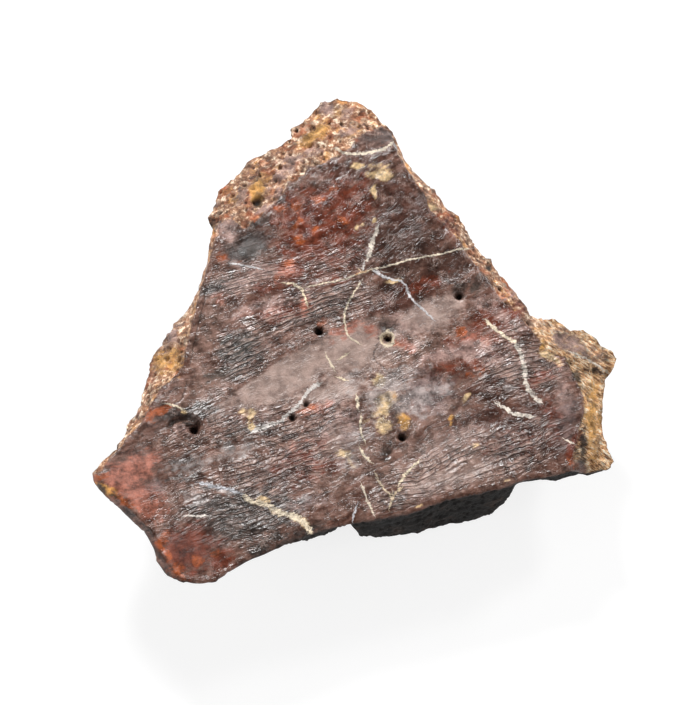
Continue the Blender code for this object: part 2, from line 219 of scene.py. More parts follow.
# Pale mineral veins: half width, tint (0 bluish, 0.5 cream, 1 orange), traced points
VEINS = (
    (65e-6, 0.42, ((308, 287), (326, 283), (342, 280), (356, 275), (374, 269), (391, 265), (405, 261),
        (408, 260), (426, 257), (450, 252), (458, 249), (470, 248))),
    (90e-6, 0.95, ((355, 275), (364, 272), (372, 270))),
    (100e-6, 0.5, ((285, 283), (294, 284), (300, 287), (304, 294), (307, 304))),
    (80e-6, 0.45, ((360, 283), (353, 294), (347, 305), (345, 312), (344, 320), (346, 331), (349, 338),
        (358, 343))),
    (90e-6, 0.08, ((373, 270), (381, 275), (388, 279), (398, 280), (405, 284), (408, 292), (411, 299),
        (419, 306), (426, 312), (432, 318))),
    (190e-6, 0.32, ((377, 229), (373, 240), (370, 250), (368, 259))),
    (150e-6, 0.2, ((364, 265), (363, 269))),
    (120e-6, 0.4, ((336, 149), (345, 153), (356, 154), (367, 153), (377, 151), (385, 149), (392, 143))),
    (150e-6, 0.45, ((487, 322), (494, 328), (506, 337), (516, 343))),
    (195e-6, 0.3, ((516, 343), (522, 357), (525, 373), (526, 386), (533, 395), (540, 401))),
    (165e-6, 0.3, ((498, 404), (509, 411), (516, 415), (531, 416))),
    (155e-6, 0.2, ((318, 385), (309, 390), (303, 399), (298, 406), (288, 414), (280, 422), (266, 426),
        (253, 432))),
    (110e-6, 0.45, ((357, 398), (358, 407))),
    (105e-6, 0.45, ((361, 417), (360, 429), (364, 440))),
    (115e-6, 0.45, ((361, 449), (364, 456), (370, 461))),
    (110e-6, 0.55, ((376, 475), (380, 484), (387, 492), (392, 498), (390, 506))),
    (110e-6, 0.6, ((400, 489), (396, 493), (392, 499))),
    (140e-6, 0.48, ((400, 482), (406, 473), (417, 463))),
    (130e-6, 0.02, ((200, 483), (214, 487), (226, 488), (243, 495))),
    (240e-6, 0.46, ((243, 495), (251, 501), (262, 503), (273, 508), (281, 514), (294, 516), (304, 522),
        (310, 531))),
    (85e-6, 0.4, ((362, 487), (367, 500), (373, 513))),
    (80e-6, 0.05, ((356, 507), (353, 519))),
    (90e-6, 0.45, ((166, 404), (175, 406), (184, 410))),
    (90e-6, 0.25, ((186, 516), (205, 516))),
    (80e-6, 0.1, ((233, 264), (247, 266), (260, 269))),
    (110e-6, 0.45, ((327, 357), (330, 363), (333, 368))),
    (90e-6, 0.5, ((341, 358), (346, 355))),
    (110e-6, 0.5, ((339, 378), (344, 380))),
    (80e-6, 0.35, ((566, 440), (573, 443))),
    (85e-6, 0.3, ((569, 351), (580, 355), (592, 361), (604, 370))),
    (160e-6, 0.46, ((391, 332), (387, 331), (383, 334), (381, 339), (382, 344), (386, 346), (390, 345),
        (393, 341), (394, 336), (391, 332))),
)

# Dark engraved lines: half width, depth, traced points
CRACKS = (
    (210e-6, 550e-6, ((170, 424), (174, 420), (181, 418), (189, 418), (196, 421), (198, 426),
        (195, 431))),
    (60e-6, 60e-6, ((166, 425), (177, 436), (188, 445), (195, 446), (202, 444), (219, 448),
        (227, 446), (240, 444))),
    (70e-6, 50e-6, ((186, 383), (184, 392), (181, 401), (170, 405))),
    (60e-6, 50e-6, ((354, 478), (374, 470), (395, 461), (407, 454))),
    (50e-6, 40e-6, ((378, 346), (373, 352), (375, 362), (383, 366), (386, 373), (397, 374))),
    (60e-6, 40e-6, ((213, 272), (204, 300), (197, 330), (190, 362))),
)

# Stains, painted sheen and painted shade: colour, share at their middle, how ragged, then
# patches. A patch is its centre, half length and half width in pixels, rise to the right in
# degrees, and strength.
STAINS_AND_PAINTED_LIGHT = {
    "tawny": ((0.205, 0.122, 0.096), 0.85, 0.35, (
        (470, 455, 110, 34, 12, 1), (340, 455, 70, 38, 20, 0.75), (420, 400, 70, 34, 10, 0.9),
        (208, 325, 46, 16, 75, 0.7), (572, 343, 36, 13, -35, 0.9), (598, 358, 12, 10, 0, 0.7),
        (205, 395, 40, 30, 30, 0.8), (560, 420, 40, 18, 80, 0.6), (490, 345, 60, 26, -35, 0.7),
        (160, 350, 46, 15, 60, 0.6), (255, 182, 60, 20, 48, 0.4), (400, 355, 60, 36, 10, 1),
        (250, 285, 45, 14, 18, 0.5))),
    # Painted sheen: the mauve-grey reflection band that lies below the sheen's edge
    "mauve_sheen": ((0.365, 0.258, 0.22), 0.95, 0.3, (
        (283, 377, 72, 26, 27, 1), (352, 348, 56, 30, 20, 1), (430, 314, 44, 20, 22, 0.85),
        (330, 392, 50, 18, 15, 0.8), (226, 402, 30, 14, 15, 0.6), (238, 450, 34, 14, 10, 0.55),
        (342, 440, 26, 24, 40, 0.65), (455, 476, 70, 13, 18, 0.62), (190, 466, 26, 12, 10, 0.4))),
    # Lavender-grey blotches of the bone, and in the middle of the face partly painted sheen
    "lavender_and_sheen": ((0.245, 0.172, 0.162), 0.8, 0.5, (
        (428, 393, 28, 26, 10, 1), (566, 420, 26, 11, 80, 1), (350, 430, 28, 22, 30, 0.5),
        (150, 490, 16, 9, 25, 0.9), (300, 505, 30, 12, 15, 0.6), (505, 385, 14, 10, 0, 0.7),
        (420, 372, 10, 8, 0, 0.7))),
    "slate": ((0.046, 0.036, 0.032), 0.92, 0.45, (
        (246, 246, 30, 15, 25, 1), (222, 285, 26, 10, 15, 1), (240, 350, 24, 18, 20, 0.9),
        (190, 415, 34, 14, 10, 0.8), (245, 445, 46, 12, 8, 0.4), (240, 515, 66, 34, 10, 0.95),
        (185, 470, 24, 22, 0, 0.5), (262, 222, 18, 10, 30, 0.8), (285, 202, 9, 8, 0, 1),
        (285, 540, 60, 14, 15, 0.7), (250, 430, 30, 12, 12, 0.6))),
    "dark": ((0.046, 0.02, 0.014), 0.92, 0.4, (
        (405, 245, 44, 46, 35, 1), (440, 268, 34, 20, 25, 1), (392, 290, 40, 18, 25, 0.95),
        (352, 245, 26, 30, 60, 0.7), (246, 246, 28, 14, 25, 0.7), (378, 137, 20, 8, 15, 1),
        (400, 205, 24, 30, 60, 0.7), (366, 196, 30, 14, 20, 0.5), (330, 305, 40, 14, 20, 0.6),
        (270, 292, 60, 8, 14, 0.5))),
    "umber": ((0.066, 0.025, 0.017), 0.94, 0.4, (
        (532, 432, 58, 38, 25, 1), (490, 415, 40, 14, 20, 0.8), (300, 468, 56, 18, 22, 0.75),
        (402, 298, 44, 14, 20, 1), (405, 205, 30, 34, 70, 0.8), (352, 170, 44, 16, 10, 0.7),
        (490, 388, 50, 14, 12, 0.8), (505, 322, 40, 10, -30, 0.35), (290, 298, 40, 8, 15, 0.8),
        (270, 345, 16, 8, 60, 0.6), (190, 552, 30, 22, 10, 0.5), (558, 448, 22, 18, 0, 0.9))),
    "moss": ((0.058, 0.05, 0.043), 0.75, 0.45, (
        (243, 342, 18, 14, 15, 1), (252, 252, 18, 9, 10, 0.6), (228, 372, 26, 9, 15, 0.8),
        (478, 285, 10, 12, 0, 0.7))),
    "rust": ((0.13, 0.027, 0.012), 0.95, 0.5, (
        (315, 232, 46, 52, 50, 1), (350, 215, 26, 40, 20, 0.7), (262, 290, 30, 10, 15, 0.7),
        (455, 350, 24, 12, 30, 0.6), (552, 405, 26, 12, 100, 0.5), (335, 196, 42, 20, 15, 0.8),
        (290, 270, 24, 14, 10, 1), (278, 313, 36, 9, 15, 0.9), (190, 548, 34, 26, 10, 1),
        (222, 562, 22, 12, 30, 0.9), (574, 447, 20, 8, 75, 1), (472, 352, 52, 22, 20, 0.9),
        (500, 316, 40, 16, 18, 0.95), (300, 455, 40, 12, 25, 0.6), (420, 286, 34, 8, 25, 0.5),
        (448, 222, 20, 10, -52, 0.5), (320, 470, 30, 12, 22, 0.6), (540, 380, 30, 8, 20, 0.6),
        (520, 440, 50, 10, 15, 0.35))),
    "salmon": ((0.35, 0.122, 0.08), 0.9, 0.45, (
        (128, 474, 34, 18, 35, 1), (146, 500, 26, 18, -35, 0.9), (281, 272, 18, 6, 15, 1),
        (182, 427, 6, 4, -20, 0.5), (258, 312, 22, 6, 15, 0.8), (305, 306, 12, 7, 80, 0.8),
        (222, 300, 10, 8, 0, 0.4), (480, 340, 26, 8, -10, 0.7), (345, 330, 22, 7, 30, 0.7),
        (405, 345, 12, 8, -40, 0.7), (320, 408, 18, 7, 30, 0.7), (300, 440, 20, 8, 25, 0.4),
        (555, 360, 12, 6, -30, 0.7), (370, 330, 14, 10, 0, 0.6))),
    "ember": ((0.37, 0.084, 0.02), 0.72, 0.55, (
        (156, 414, 18, 5, 30, 1), (223, 259, 8, 6, 0, 0.9), (461, 330, 8, 6, 20, 1),
        (165, 539, 8, 7, 0, 1), (164, 550, 16, 5, -72, 0.9), (177, 572, 9, 5, -40, 0.9),
        (173, 570, 10, 6, 0, 0.8), (198, 562, 8, 6, 0, 0.9), (214, 553, 6, 6, 0, 0.8),
        (100, 477, 9, 5, 40, 1), (119, 499, 18, 5, -38, 1), (252, 215, 7, 5, 0, 1),
        (309, 410, 9, 5, 10, 0.8), (322, 324, 6, 4, 20, 0.8), (282, 208, 6, 6, 30, 0.8),
        (298, 208, 8, 8, 0, 0.8), (297, 222, 8, 4, 40, 0.9), (443, 213, 6, 4, -40, 0.7),
        (478, 372, 16, 5, 0, 0.5), (352, 108, 5, 4, 0, 0.9), (368, 117, 6, 4, 0, 0.9),
        (356, 139, 4, 3, 0, 0.9), (572, 462, 6, 4, 0, 0.8), (345, 268, 8, 4, 10, 0.5),
        (394, 344, 8, 5, 80, 0.3), (300, 240, 8, 6, 20, 0.8), (314, 228, 7, 5, 0, 0.7),
        (287, 262, 8, 5, 10, 0.8), (330, 250, 7, 5, 0, 0.6), (342, 222, 6, 5, 0, 0.6),
        (318, 200, 8, 5, 20, 0.8), (335, 187, 7, 4, 10, 0.8), (276, 276, 7, 5, 0, 0.8),
        (225, 190, 8, 6, 0, 0.6), (268, 172, 8, 5, 30, 0.8), (300, 132, 9, 5, 20, 0.8),
        (330, 136, 8, 5, 0, 0.8), (150, 375, 9, 6, 60, 0.6))),
    "amber": ((0.64, 0.33, 0.09), 0.9, 0.45, (
        (257, 190, 12, 8, 70, 1), (312, 136, 22, 7, 40, 0.8), (236, 199, 9, 5, 10, 0.8),
        (391, 396, 7, 6, 0, 1), (403, 421, 11, 5, -58, 1), (594, 418, 46, 8, 92, 0.75),
        (543, 345, 6, 5, 0, 0.7), (340, 110, 16, 6, 20, 0.6), (247, 418, 8, 7, 0, 0.25),
        (108, 490, 16, 5, -38, 0.7), (452, 420, 6, 3, 80, 0.8), (166, 362, 18, 22, 60, 0.5))),
    "cream": ((0.64, 0.45, 0.24), 0.92, 0.42, (
        (381, 174, 14, 6, 0, 1), (356, 165, 7, 4, 10, 0.9), (376, 191, 7, 3, 85, 0.8),
        (374, 221, 3, 4, 0, 0.9), (357, 227, 5, 3, 90, 0.9), (363, 226, 4, 3, 0, 0.8),
        (249, 414, 8, 5, 20, 1), (252, 425, 5, 6, 100, 1), (380, 381, 9, 8, 0, 0.95),
        (384, 404, 14, 9, 60, 0.95), (385, 427, 9, 9, 0, 0.9), (380, 414, 6, 9, 80, 0.8),
        (368, 420, 7, 4, 0, 0.7), (345, 453, 6, 5, 0, 0.8), (350, 463, 8, 3, -65, 0.6),
        (551, 357, 14, 5, -30, 0.8), (262, 503, 8, 5, 20, 1), (302, 522, 10, 5, -40, 1),
        (275, 510, 8, 4, -20, 0.8), (508, 482, 5, 2, 20, 0.8), (422, 508, 4, 2, 20, 0.8),
        (466, 398, 6, 3, 75, 0.8), (475, 445, 3, 3, 0, 0.9), (434, 206, 7, 4, -50, 0.9),
        (378, 166, 10, 4, 0, 0.5), (184, 411, 4, 3, 0, 1), (393, 281, 7, 3, 0, 0.6))),
    # Painted sheen: a milky bluish-white reflection laid over the face
    "milky_sheen": ((0.39, 0.34, 0.325), 0.62, 0.62, (
        (196, 498, 13, 9, 0, 0.8), (222, 489, 16, 5, -15, 0.9), (508, 386, 8, 5, -40, 0.6),
        (431, 364, 8, 3, 75, 0.7), (414, 378, 10, 6, 20, 0.6), (440, 390, 14, 9, 20, 0.5),
        (420, 415, 14, 5, 15, 0.45), (388, 388, 24, 12, 10, 0.9), (402, 402, 20, 16, 0, 0.9),
        (374, 402, 10, 24, 0, 0.7), (352, 380, 12, 16, 0, 0.5), (424, 396, 18, 12, 30, 0.8),
        (396, 372, 22, 7, 10, 0.8), (362, 432, 16, 10, 30, 0.5), (350, 462, 14, 10, 40, 0.5),
        (238, 452, 26, 12, 10, 0.5), (184, 466, 18, 12, 10, 0.5), (370, 245, 14, 4, 72, 0.4),
        (205, 460, 16, 8, 10, 0.4), (283, 508, 14, 4, 20, 0.5), (306, 498, 10, 4, 15, 0.5),
        (244, 267, 14, 3, -12, 0.5))),
    # Painted shade in and beside the holes, and blackish patches along the rim and at the upper left
    "blackish_and_hole_shade": ((0.026, 0.016, 0.012), 0.82, 0.6, (
        (389, 327, 11, 6, 0, 0.95), (247, 245, 26, 12, 28, 0.6), (382, 336, 8, 6, 60, 0.6),
        (459, 289, 12, 9, 20, 0.7), (320, 330, 8, 6, 0, 0.7), (386, 451, 8, 9, 60, 0.7),
        (188, 420, 14, 6, -10, 0.4), (293, 418, 7, 5, 0, 0.6), (102, 489, 7, 4, -40, 1),
        (115, 497, 5, 3, -40, 0.8), (129, 513, 9, 4, -42, 1), (147, 529, 8, 4, -45, 1),
        (160, 556, 8, 5, -60, 0.9), (176, 578, 10, 5, -20, 0.9), (578, 375, 6, 8, 0, 0.8),
        (582, 447, 20, 6, 80, 0.8), (213, 220, 10, 4, 85, 0.9), (604, 352, 6, 5, 0, 0.4),
        (402, 436, 7, 5, 0, 0.6), (600, 372, 8, 4, -30, 0.7))),
    # Pinkish-grey bone, and on the face partly painted sheen: light streaks rising to the right
    "blush_and_sheen": ((0.35, 0.225, 0.195), 0.88, 0.45, (
        (287, 166, 20, 9, 40, 0.8), (312, 150, 14, 8, 30, 0.7), (240, 196, 14, 8, 60, 0.7),
        (345, 112, 12, 10, 10, 0.6), (172, 330, 16, 9, 70, 0.6), (208, 205, 10, 7, 60, 0.7),
        (227, 229, 13, 12, 30, 1), (262, 205, 14, 7, 30, 0.7), (325, 108, 8, 9, 20, 0.9),
        (350, 128, 16, 6, 10, 0.6), (570, 343, 22, 8, -30, 0.8), (275, 190, 12, 8, 40, 0.5),
        (462, 352, 44, 10, 10, 1), (500, 362, 26, 8, -10, 0.8), (410, 330, 16, 26, 60, 0.5),
        (490, 300, 30, 8, 20, 0.5), (562, 395, 22, 8, 90, 0.6), (505, 318, 30, 8, -35, 0.6),
        (260, 308, 34, 10, 15, 0.6), (248, 280, 36, 10, 22, 0.75), (330, 425, 30, 14, 30, 0.6),
        (181, 428, 7, 5, 0, 1))),
}

# Where the fibres and wrinkles stand out most, as patches
FIBROUS = (
    (320, 305, 46, 26, 15, 1), (243, 355, 28, 30, 20, 1), (300, 440, 60, 46, 25, 0.8),
    (500, 455, 70, 26, 18, 1), (520, 360, 46, 40, 20, 0.9), (285, 320, 60, 16, 15, 0.9),
    (400, 490, 40, 20, 40, 0.8), (240, 500, 70, 44, 12, 0.6), (250, 470, 40, 20, 30, 0.8),
    (440, 470, 60, 20, 24, 0.9), (400, 360, 40, 30, 10, 0.3), (330, 262, 50, 20, 15, 0.4),
    (210, 430, 50, 26, 12, 0.6), (250, 280, 50, 14, 15, 0.7),
)

# Where painted glints, pale dots that are also raised a little, stand, as patches
SPARKLING = (
    (460, 428, 30, 24, 30, 1), (485, 442, 24, 14, 0, 0.8), (450, 408, 24, 12, 40, 0.8),
    (400, 260, 70, 60, 30, 0.35), (520, 430, 50, 34, 20, 0.45), (200, 500, 40, 30, 0, 0.4),
    (300, 165, 40, 16, 30, 0.7), (460, 245, 30, 10, -50, 0.6), (270, 530, 50, 14, 15, 0.35),
    (385, 332, 22, 16, 0, 0.7), (320, 332, 16, 14, 0, 0.5), (250, 185, 60, 26, 48, 0.9),
    (322, 122, 44, 30, 20, 0.7), (160, 350, 46, 18, 60, 0.6), (585, 345, 40, 20, -30, 0.6),
    (350, 225, 50, 40, 0, 0.3),
)

# Where the face is smooth and satin, as patches
SATIN = (
    (128, 474, 44, 34, 30, 1), (190, 550, 46, 30, 10, 1), (566, 425, 36, 18, 85, 0.8),
    (150, 425, 26, 16, 40, 0.7), (248, 246, 30, 14, 28, 0.7),
)

# Where the face is flaked and lumpy, as patches
FLAKY = (
    (190, 478, 40, 36, 0, 1), (240, 520, 60, 26, 12, 0.8), (130, 480, 34, 34, 0, 0.12),
    (195, 550, 36, 24, 0, 0.12), (180, 425, 30, 20, 0, 0.7), (224, 226, 12, 12, 20, 1),
    (340, 175, 50, 16, 10, 0.6), (390, 440, 16, 20, 60, 0.6), (545, 355, 30, 16, -35, 0.8),
)


def photo_pixels(points):
    """Where the photograph shows each point, in its pixels."""
    away = points - np.array(AIM)
    depth = VIEW_DISTANCE + away[:, 1] * math.cos(VIEW_ELEVATION)
    depth -= away[:, 2] * math.sin(VIEW_ELEVATION)
    up = away[:, 1] * math.sin(VIEW_ELEVATION) + away[:, 2] * math.cos(VIEW_ELEVATION)
    scale = VIEW_DISTANCE / METRES_PER_PIXEL / depth
    across = PHOTO_CENTRE[0] + away[:, 0] * scale
    return np.column_stack((across, PHOTO_CENTRE[1] - up * scale))


def smooth_step(low, high, values):
    share = np.clip((values - low) / (high - low), 0, 1)
    return share * share * (3 - 2 * share)


def hashed(cells, seed):
    """Three repeatable numbers from -1 to 1 for each row of whole numbers."""
    key = cells.astype(np.int64) @ np.array((73856093, 19349663, 83492791))
    key = (key + seed * 668265263) & 0xFFFFFFFF
    columns = []
    for _ in range(3):
        key = ((key ^ (key >> 15)) * 739982445 + 1013904223) & 0xFFFFFFFF
        columns.append(((key ^ (key >> 12)) & 0xFFFF) / 32767.5 - 1)
    return np.column_stack(columns)


def noise_at(places, seed):
    """Seeded gradient noise, about -1 to 1, at rows of x, y, z."""
    cells = np.floor(places)
    share = places - cells
    ease = share ** 3 * (share * (share * 6 - 15) + 10)
    total = np.zeros(len(places))
    for corner in itertools.product((0, 1), repeat=3):
        pull = hashed(cells + corner, seed)
        weight = np.prod(np.where(corner, ease, 1 - ease), axis=1)
        total += weight * np.sum(pull * (share - corner), axis=1)
    return total * 1.5


def layered_noise(places, seed, layers=3):
    total = np.zeros(len(places))
    for layer in range(layers):
        total += noise_at(places * 2 ** layer, seed + layer) / 2 ** layer
    return total


def cells_at(places, seed):
    """Distance to the nearest of scattered cell centres, and that cell's own number."""
    home = np.floor(places)
    nearest = np.full(len(places), 9.0)
    own = np.zeros(len(places))
    for step in itertools.product((-1, 0, 1), repeat=3):
        numbers = hashed(home + step, seed)
        gap = np.linalg.norm(places - (home + step + 0.5 + 0.42 * numbers), axis=1)
        closer = gap < nearest
        own = np.where(closer, numbers[:, 0], own)
        nearest = np.minimum(nearest, gap)
    return nearest, own


def flat(pixels):
    """Pixels as rows of millimetres with a third column, for the noise functions."""
    size = METRES_PER_PIXEL * 1000
    return np.column_stack((pixels * size, np.zeros(len(pixels))))


def inside(outline, pixels):
    within = np.zeros(len(pixels), bool)
    u, v = pixels.T
    for (u0, v0), (u1, v1) in zip(outline, outline[1:] + outline[:1]):
        if v0 != v1:
            crosses = (v0 > v) != (v1 > v)
            within ^= crosses & (u < (u1 - u0) * (v - v0) / (v1 - v0) + u0)
    return within


def line_gap(line, pixels):
    """Distance in metres from a traced line, and the same with the side as its sign."""
    gap = np.full(len(pixels), 1e3)
    side = np.full(len(pixels), 1e3)
    for start, end in zip(np.array(line, float), np.array(line[1:], float)):
        run = end - start
        away = pixels - start
        share = np.clip(away @ run / (run @ run), 0, 1)
        here = np.linalg.norm(away - share[:, None] * run, axis=1)
        turn = np.sign(run[0] * away[:, 1] - run[1] * away[:, 0])
        side = np.where(here < gap, here * turn, side)
        gap = np.minimum(gap, here)
    return gap * METRES_PER_PIXEL, side * METRES_PER_PIXEL


def rounded(line):
    """A traced line with its corners cut once, so that it bends softly."""
    line = np.array(line, float)
    middle = [start + share * (end - start)
              for start, end in zip(line, line[1:]) for share in (0.25, 0.75)]
    return [tuple(point) for point in [line[0], *middle, line[-1]]]


def patches(pixels, blots):
    """Soft ellipses, 1 at their middles and 0 outside."""
    cover = np.zeros(len(pixels))
    for u, v, length, width, rise, strength in blots:
        turn = math.radians(rise)
        away = pixels - (u, v)
        along = (away[:, 0] * math.cos(turn) - away[:, 1] * math.sin(turn)) / length
        aside = (away[:, 0] * math.sin(turn) + away[:, 1] * math.cos(turn)) / width
        reach = np.hypot(along, aside)
        cover = np.maximum(cover, strength * smooth_step(1.40, 0.20, reach))
    return cover


def surface_kinds(shape):
    """Which part of the surface each CAD face belongs to."""
    centres = np.array([face.calc_center_median() for face in shape.faces])
    upward = np.array([face.normal.z for face in shape.faces])
    kinds = np.where(upward > BROKEN_NORMAL, BROKEN, WALL)
    kinds[inside(RIM, photo_pixels(centres)) & (upward > LEVEL_NORMAL)] = FACE
    kinds[upward < -LEVEL_NORMAL] = UNDERSIDE
    return kinds


def drop_folded_faces(shape):
    """Deletes both of any two faces that lie back to back on the same three corners."""
    alike = {}
    for face in shape.faces:
        alike.setdefault(frozenset(face.verts), []).append(face)
    folded = [face for faces in alike.values() if len(faces) > 1 for face in faces]
    bmesh.ops.delete(shape, geom=folded, context="FACES")


def dense_copy(source):
    """The CAD solid's mesh with small triangles, and each face's kind of surface."""
    shape = bmesh.new()
    shape.from_mesh(source.data)
    bmesh.ops.remove_doubles(shape, verts=shape.verts, dist=WELD_GAP)
    shape.normal_update()
    for face, kind in zip(shape.faces, surface_kinds(shape)):
        face.material_index = kind
    for _ in range(SPLIT_ROUNDS):
        long_sides = [edge for edge in shape.edges if edge.calc_length() > max(
            LONGEST_SIDE[face.material_index] for face in edge.link_faces)]
        if not long_sides:
            break
        bmesh.ops.subdivide_edges(shape, edges=long_sides, cuts=1)
        bmesh.ops.triangulate(shape, faces=[f for f in shape.faces if len(f.verts) > 3])
        drop_folded_faces(shape)
    mesh = bpy.data.meshes.new("scute_bone")
    shape.to_mesh(mesh)
    shape.free()
    return mesh


class Skin:
    """The mesh as arrays: points, edges, and how far each point belongs to each surface."""

    def __init__(self, mesh):
        self.mesh = mesh
        self.points = self.read(mesh.vertices, "co", 3)
        self.edges = self.read(mesh.edges, "vertices", 2, np.int32)
        corners = self.read(mesh.loops, "vertex_index", 1, np.int32).reshape(-1, 3)
        kinds = self.read(mesh.polygons, "material_index", 1, np.int32)
        count = np.bincount(corners.ravel(), minlength=len(self.points))
        self.share = {}
        for kind in LONGEST_SIDE:
            held = np.bincount(corners[kinds.ravel() == kind].ravel(),
                               minlength=len(self.points))
            self.share[kind] = held / count
        self.upper = self.share[FACE] + self.share[BROKEN] > 0
        self.flat_spot = self.points[:, 2] < FLAT_SPOT_HEIGHT

    @staticmethod
    def read(items, name, width, kind=np.float64):
        values = np.empty(len(items) * width, kind)
        items.foreach_get(name, values)
        return values.reshape(-1, width) if width > 1 else values

    def locate(self):
        """Finds each point in the photograph, and how far the bone is broken there."""
        self.pixels = photo_pixels(self.points)
        self.rim_gap = line_gap(RIM + RIM[:1], self.pixels)[0]
        places = flat(self.pixels)
        u, v = self.pixels.T
        loose = smooth_step(*LOOSE_LEFT_OF, u) * smooth_step(*LOOSE_ABOVE, v)
        ragged = (STRAY + LOOSE_STRAY * loose) * layered_noise(places / STRAY_SIZE_MM, 81)
        ragged += SMALL_STRAY * layered_noise(places / SMALL_STRAY_SIZE_MM, 85)
        within = inside(RIM, self.pixels) & self.upper
        side = np.where(within, self.rim_gap, -self.rim_gap) + ragged
        clean = smooth_step(*CLEAN_FADE, line_gap(CLEAN_EDGE, self.pixels)[0])
        self.broken = smooth_step(BROKEN_FADE, -BROKEN_FADE, side) * (1 - clean)

    def relax(self, mobility, rounds, columns=(0, 1, 2)):
        """Moves points toward the middle of their neighbours."""
        first, second = self.edges.T
        total = len(self.points)
        count = np.bincount(self.edges.ravel(), minlength=total)
        for _ in range(rounds):
            for column in columns:
                values = self.points[:, column]
                near = np.bincount(first, values[second], total)
                near += np.bincount(second, values[first], total)
                self.points[:, column] += 0.5 * mobility * (near / count - values)

    def normals(self):
        self.store()
        return self.read(self.mesh.vertex_normals, "vector", 3)

    def store(self):
        self.mesh.vertices.foreach_set("co", self.points.astype(np.float32).ravel())
        self.mesh.update()

    def mark(self, name, values):
        kind = "FLOAT" if values.ndim == 1 else "FLOAT_VECTOR"
        layer = self.mesh.attributes.new(name, kind, "POINT")
        field = "value" if values.ndim == 1 else "vector"
        layer.data.foreach_set(field, values.astype(np.float32).ravel())


def even_out(skin):
    """Takes the CAD's flat facets out, with the outer edge and the flat spot kept."""
    on_face = skin.share[FACE] == 1
    on_edge = skin.upper & (skin.share[WALL] + skin.share[UNDERSIDE] > 0)
    skin.relax(on_face * 1.0, FACE_ROUNDS, (2,))
    mobility = np.where(on_edge, EDGE_MOBILITY, 1.0) * ~on_face * ~skin.flat_spot
    skin.relax(mobility, OTHER_ROUNDS)
    skin.relax((skin.share[UNDERSIDE] == 1) * ~skin.flat_spot, UNDERSIDE_ROUNDS)


def fibre_places(pixels):
    """Millimetres along and across the fibres of the smooth face."""
    places = flat(pixels)
    u, v = places[:, 0], places[:, 1]
    along = u * math.cos(FIBRE_RISE) - v * math.sin(FIBRE_RISE)
    across = u * math.sin(FIBRE_RISE) + v * math.cos(FIBRE_RISE)
    across += sum(reach * noise_at(places / size, seed) for reach, size, seed in FIBRE_SWAY)
    top_turn = smooth_step(*TOP_TURN_BAND, pixels[:, 1]) * math.tan(TOP_TURN)
    across += top_turn * (u - TOP_TURN_CENTRE_MM)
    return np.column_stack((along, across, np.zeros(len(u))))


def shape_face(skin):
    """Waves, wrinkles, the bend at the sheen's edge and the holes of the smooth face."""
    flow = fibre_places(skin.pixels)
    places = flat(skin.pixels) / 1000
    inner = smooth_step(0, RIM_FADE, skin.rim_gap) * (skin.share[FACE] > 0) * (1 - skin.broken)
    rise = WAVE_HEIGHT * layered_noise(places / WAVE_LENGTH, 21)
    wrinkles = flow / 1000 / (WRINKLE_LENGTH, WRINKLE_SPACING, 1)
    fibrous = patches(skin.pixels, FIBROUS)
    rise += LUMPY_HEIGHT * (1 - 0.7 * fibrous) * layered_noise(places / LUMPY_SIZE, 36, 2)
    rise += FLAKE_HEIGHT * patches(skin.pixels, FLAKY) * layered_noise(places / FLAKE_SIZE, 38, 2)
    rise += WRINKLE_HEIGHT * fibrous * layered_noise(wrinkles, 31, 2)
    side = line_gap(SHEEN_EDGE, skin.pixels)[1]
    bend = smooth_step(-CREASE_WIDTH, 0, side) * smooth_step(CREASE_REACH, 0, side)
    rise += CREASE_STEP * bend
    skin.points[:, 2] += rise * inner
    chips = smooth_step(*CHIP_BAND, skin.rim_gap) * (skin.share[FACE] > 0)
    chips *= np.clip(layered_noise(places / CHIP_SIZE, 41), 0, 1)
    skin.points[:, 2] -= CHIP_DEPTH * chips
    carve_marks(skin)


def carve_marks(skin):
    """Sinks the holes and the engraved lines into the upper side, and marks the painted shade in the
    holes.
    """
    hollow = np.zeros(len(skin.points))
    for place, radius, depth, darkness in HOLLOWS:
        gap = np.linalg.norm(skin.pixels - place, axis=1) * METRES_PER_PIXEL / radius
        bowl = smooth_step(1.25, 0.25, gap) * skin.upper
        skin.points[:, 2] -= depth * bowl
        hollow = np.maximum(hollow, darkness * bowl)
    skin.mark("hollow", hollow)
    for half_width, depth, line in CRACKS:
        gap = line_gap(rounded(line), skin.pixels)[0]
        groove = smooth_step(2.2 * half_width, 0, gap) * skin.upper
        skin.points[:, 2] -= depth * groove


def shape_broken(skin):
    """Lumps, grain and pores of the broken bone, finer on the underside."""
    normals = skin.normals()
    places = skin.points
    broken = (skin.share[BROKEN] + skin.share[FACE]) * skin.broken
    wall = skin.share[WALL]
    below = skin.share[UNDERSIDE] * ~skin.flat_spot
    lumps = layered_noise(places / LUMP_SIZE, 51, 2)
    grain = layered_noise(places / GRAIN_SIZE, 61, 2)
    gap, own = cells_at(places / PORE_SPACING, 71)
    pores = smooth_step(*PORE_SLOPE, gap) * (own > -0.35)
    gap, own = cells_at(places / WIDE_PORE_SPACING, 77)
    pores = np.maximum(pores, 1.2 * smooth_step(*WIDE_PORE_SLOPE, gap) * (own > -0.2))
    pores *= 1 - 0.8 * smooth_step(*KNOB_BAND, skin.pixels[:, 0])
    outer, inner = (smooth_step(*slope, gap) for slope in LIP_SLOPES)
    lips = outer * inner * (own > -0.2)
    rough = LUMP_HEIGHT * lumps + GRAIN_HEIGHT * grain
    rise = broken * (rough - PORE_DEPTH * pores + LIP_HEIGHT * lips - LEDGE_DEPTH)
    rise += wall * (0.8 * rough - 0.6 * PORE_DEPTH * pores)
    rise += below * UNDERSIDE_GRAIN * (1.2 * lumps + 0.5 * grain)
    skin.points += normals * rise[:, None]
    skin.points[:, 2] = np.maximum(skin.points[:, 2], 0)
    # The pore mask, painted as shade, also takes in the low spots of the grain
    skin.mark("pore", np.clip(pores + 0.35 * np.clip(-grain - 0.2, 0, 1), 0, 1))
    skin.mark("lip", lips)


